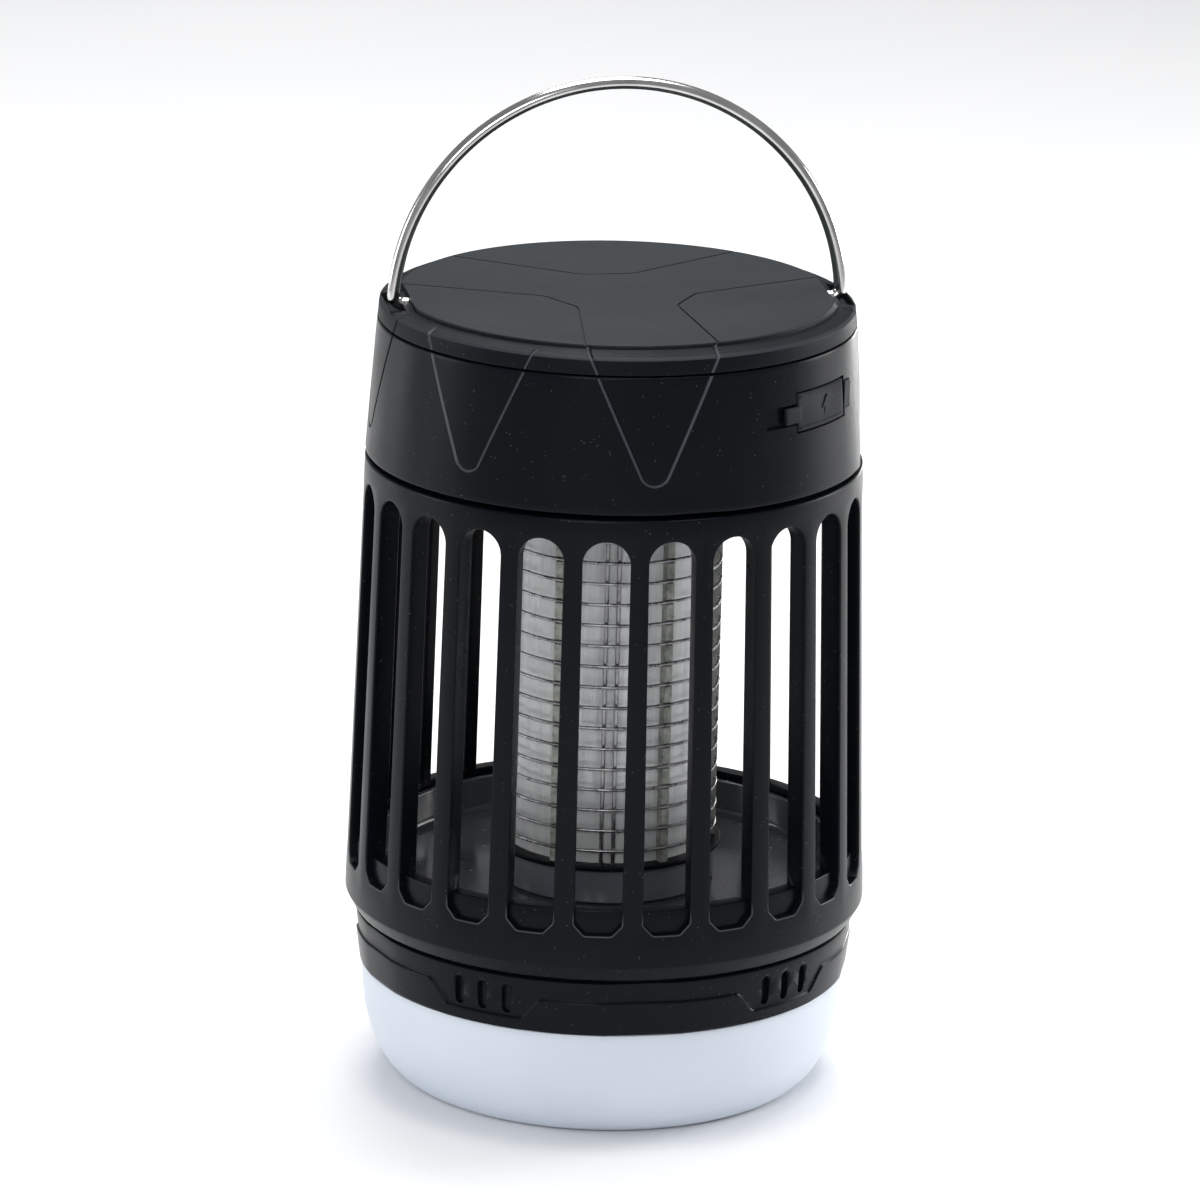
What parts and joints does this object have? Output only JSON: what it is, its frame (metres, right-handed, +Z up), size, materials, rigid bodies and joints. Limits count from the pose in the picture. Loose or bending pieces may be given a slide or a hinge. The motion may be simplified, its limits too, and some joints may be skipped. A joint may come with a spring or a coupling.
{
  "type": "electric bug zapper",
  "caption": "Rechargeable camping-lantern bug zapper: slotted cage round a high-voltage grid, charging head with folding wire bail, frosted lamp dome below.",
  "frame": {"origin": "centre of the lamp dome's flat base, which the object stands on", "axes": "+Z up; -Y is the front, the side with the V panel opposite the button's side; X is the handle's pivot axis"},
  "size_m": [0.0898, 0.0898, 0.176],
  "materials": {
    "housing_black": "fine spark-eroded texture",
    "cap_black": "fine matt texture",
    "tray_black": "polished",
    "dome_white": "frosted, satin",
    "reflector_white": "satin",
    "clear_tube": "clear, fluted inside",
    "insulator_black": "satin",
    "rubber_black": "matt rubber",
    "handle_steel": "drawn and polished stainless wire",
    "grid_steel": "drawn wire",
    "screw_steel": "zinc plated",
    "board_white": "white solder mask",
    "board_green": "green solder mask",
    "led_yellow": "phosphor",
    "led_violet": "clear lens",
    "chip_black": "moulded epoxy",
    "ferrite": "sintered",
    "capacitor_red": "dipped epoxy",
    "can_aluminium": "sleeved",
    "nickel": "nickel plated",
    "cell_wrap": "heat-shrink sleeve",
    "wire_red": "silicone insulation",
    "lens_clear": "clear light pipe"
  },
  "bodies": {
    "lantern_head": {"core_tube": "clear_tube", "core_foot": "clear_tube", "grid_bottom_ring": "insulator_black", "grid_top_ring": "insulator_black", "grid_ribs": "clear_tube", "grid_wire_live": "grid_steel", "grid_wire_return": "grid_steel", "hv_leads": "wire_red", "led_board": "board_white", "uv_leds": "led_violet", "lamp_board": "board_white", "lamp_leds": "led_yellow", "core_carrier": "housing_black", "carrier_screws": "screw_steel", "upper_housing": "housing_black", "flap_anchor": "rubber_black", "tact_switch": "nickel", "indicator_lens": "lens_clear", "indicator_led": "led_yellow", "main_board": "board_green", "board_screws": "screw_steel", "board_connector": "insulator_black", "hv_transformer": "ferrite", "hv_capacitors": "capacitor_red", "filter_capacitor": "can_aluminium", "hv_diodes": "chip_black", "control_chips": "chip_black", "usb_port": "nickel", "battery_cell": "cell_wrap", "battery_cradle": "housing_black", "battery_contacts": "nickel", "top_cap": "cap_black", "cap_screws": "screw_steel"},
    "base_unit": {"diffuser_dome": "dome_white", "dome_seal": "rubber_black", "collar": "housing_black", "collar_screws": "screw_steel", "lamp_reflector": "reflector_white", "tray_floor": "tray_black", "tray_rim": "tray_black", "cage_rim": "housing_black", "cage_bars": "housing_black", "cage_base": "housing_black", "cage_flange": "housing_black"},
    "bail": {"handle_wire": "handle_steel"},
    "flap": {"usb_flap": "rubber_black"},
    "button": {"power_button": "housing_black", "switch_plunger": "chip_black"}
  },
  "joints": [
    {"name": "bail_fold", "type": "hinge", "parent": "lantern_head", "child": "bail", "pos_m": [0, 0, 0.1372], "axis": [1, 0, 0], "range_deg": [-70, 70]},
    {"name": "base_twist", "type": "hinge", "parent": "lantern_head", "child": "base_unit", "pos_m": [0, 0, 0.11], "axis": [0, 0, 1], "range_deg": [0, 18]},
    {"name": "button_press", "type": "slide", "parent": "lantern_head", "child": "button", "axis": [-0.7071, -0.7071, 0], "range_m": [0, 0.0005], "stiffness_N_per_m": 800, "springref_m": -0.0005},
    {"name": "flap_open", "type": "hinge", "parent": "lantern_head", "child": "flap", "pos_m": [0.03522, -0.02222, 0.1256], "axis": [0, 0, 1], "range_deg": [0, 110]}
  ]
}
